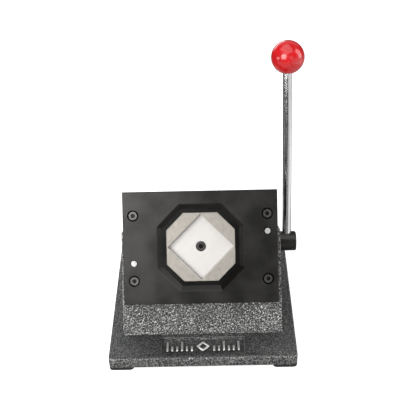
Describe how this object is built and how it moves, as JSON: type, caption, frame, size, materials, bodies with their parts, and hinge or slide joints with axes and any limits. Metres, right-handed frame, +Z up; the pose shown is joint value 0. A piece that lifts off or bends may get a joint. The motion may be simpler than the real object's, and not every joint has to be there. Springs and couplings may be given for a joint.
{
  "type": "stand punch for badge blanks",
  "caption": "Leaning die set on a footed base, with a side lever whose eccentric drives a square punch through the die to cut badge blanks.",
  "frame": {"origin": "under the middle of the whole outline at rest, at the height of the surface the feet stand on", "axes": "+Z up, -Y towards the user, who faces the leaning die; +X to the user's right, where the lever is"},
  "size_m": [0.2134, 0.2092, 0.2841],
  "materials": {
    "hammertone": "dark grey hammertone paint on cast iron",
    "black_oxide": "black oxide on steel, satin",
    "ground_steel": "surface ground tool steel",
    "polished_steel": "polished, bright",
    "bronze": "sintered bronze",
    "rubber": "matt black rubber",
    "red_knob": "glossy red phenolic",
    "spring_steel": "bright spring wire",
    "hardened_pin": "ground hardened pin"
  },
  "bodies": {
    "stand": {"base_plate": "hammertone", "housing": "hammertone", "base_bolts": "black_oxide", "foot_front_left": "rubber", "foot_front_right": "rubber", "foot_rear_left": "rubber", "foot_rear_right": "rubber", "foot_screws": "black_oxide", "bush_left": "bronze", "bush_right": "bronze", "stop_pin": "hardened_pin", "front_plate": "black_oxide", "die_plate": "ground_steel", "slot_spacer_left": "ground_steel", "slot_spacer_right": "ground_steel", "guide_plate": "black_oxide", "guide_plate_screws": "black_oxide", "plate_screws_upper": "black_oxide", "plate_screws_lower": "black_oxide", "dowel_pins": "hardened_pin", "guide_pins": "hardened_pin", "spring_left": "spring_steel", "spring_right": "spring_steel"},
    "lever": {"shaft": "ground_steel", "eccentric_cam": "ground_steel", "cam_key": "ground_steel", "stop_collar": "black_oxide", "collar_screw": "black_oxide", "retaining_ring": "spring_steel", "thrust_washer": "black_oxide", "lever_hub": "black_oxide", "hub_screw": "black_oxide", "lever_rod": "polished_steel", "ball_knob": "red_knob"},
    "ram": {"ram": "black_oxide", "punch": "ground_steel", "punch_screw": "black_oxide", "punch_dowels": "hardened_pin", "wear_pad": "ground_steel", "wear_pad_screws": "black_oxide"}
  },
  "joints": [
    {"name": "lever_swing", "type": "hinge", "parent": "stand", "child": "lever", "pos_m": [-0.00673, 0.0168, 0.07394], "axis": [1, 0, 0], "range_deg": [0, 70]},
    {"name": "punch_slide", "type": "slide", "parent": "stand", "child": "ram", "axis": [0, -0.8192, 0.5736], "range_m": [0, 0.00804], "stiffness_N_per_m": 4000, "springref_m": -0.004, "deforming": ["spring_left", "spring_right"]}
  ],
  "couplings": [
    {"joint": "punch_slide", "follows": "lever_swing", "m_per_rad": 0.0065727}
  ]
}
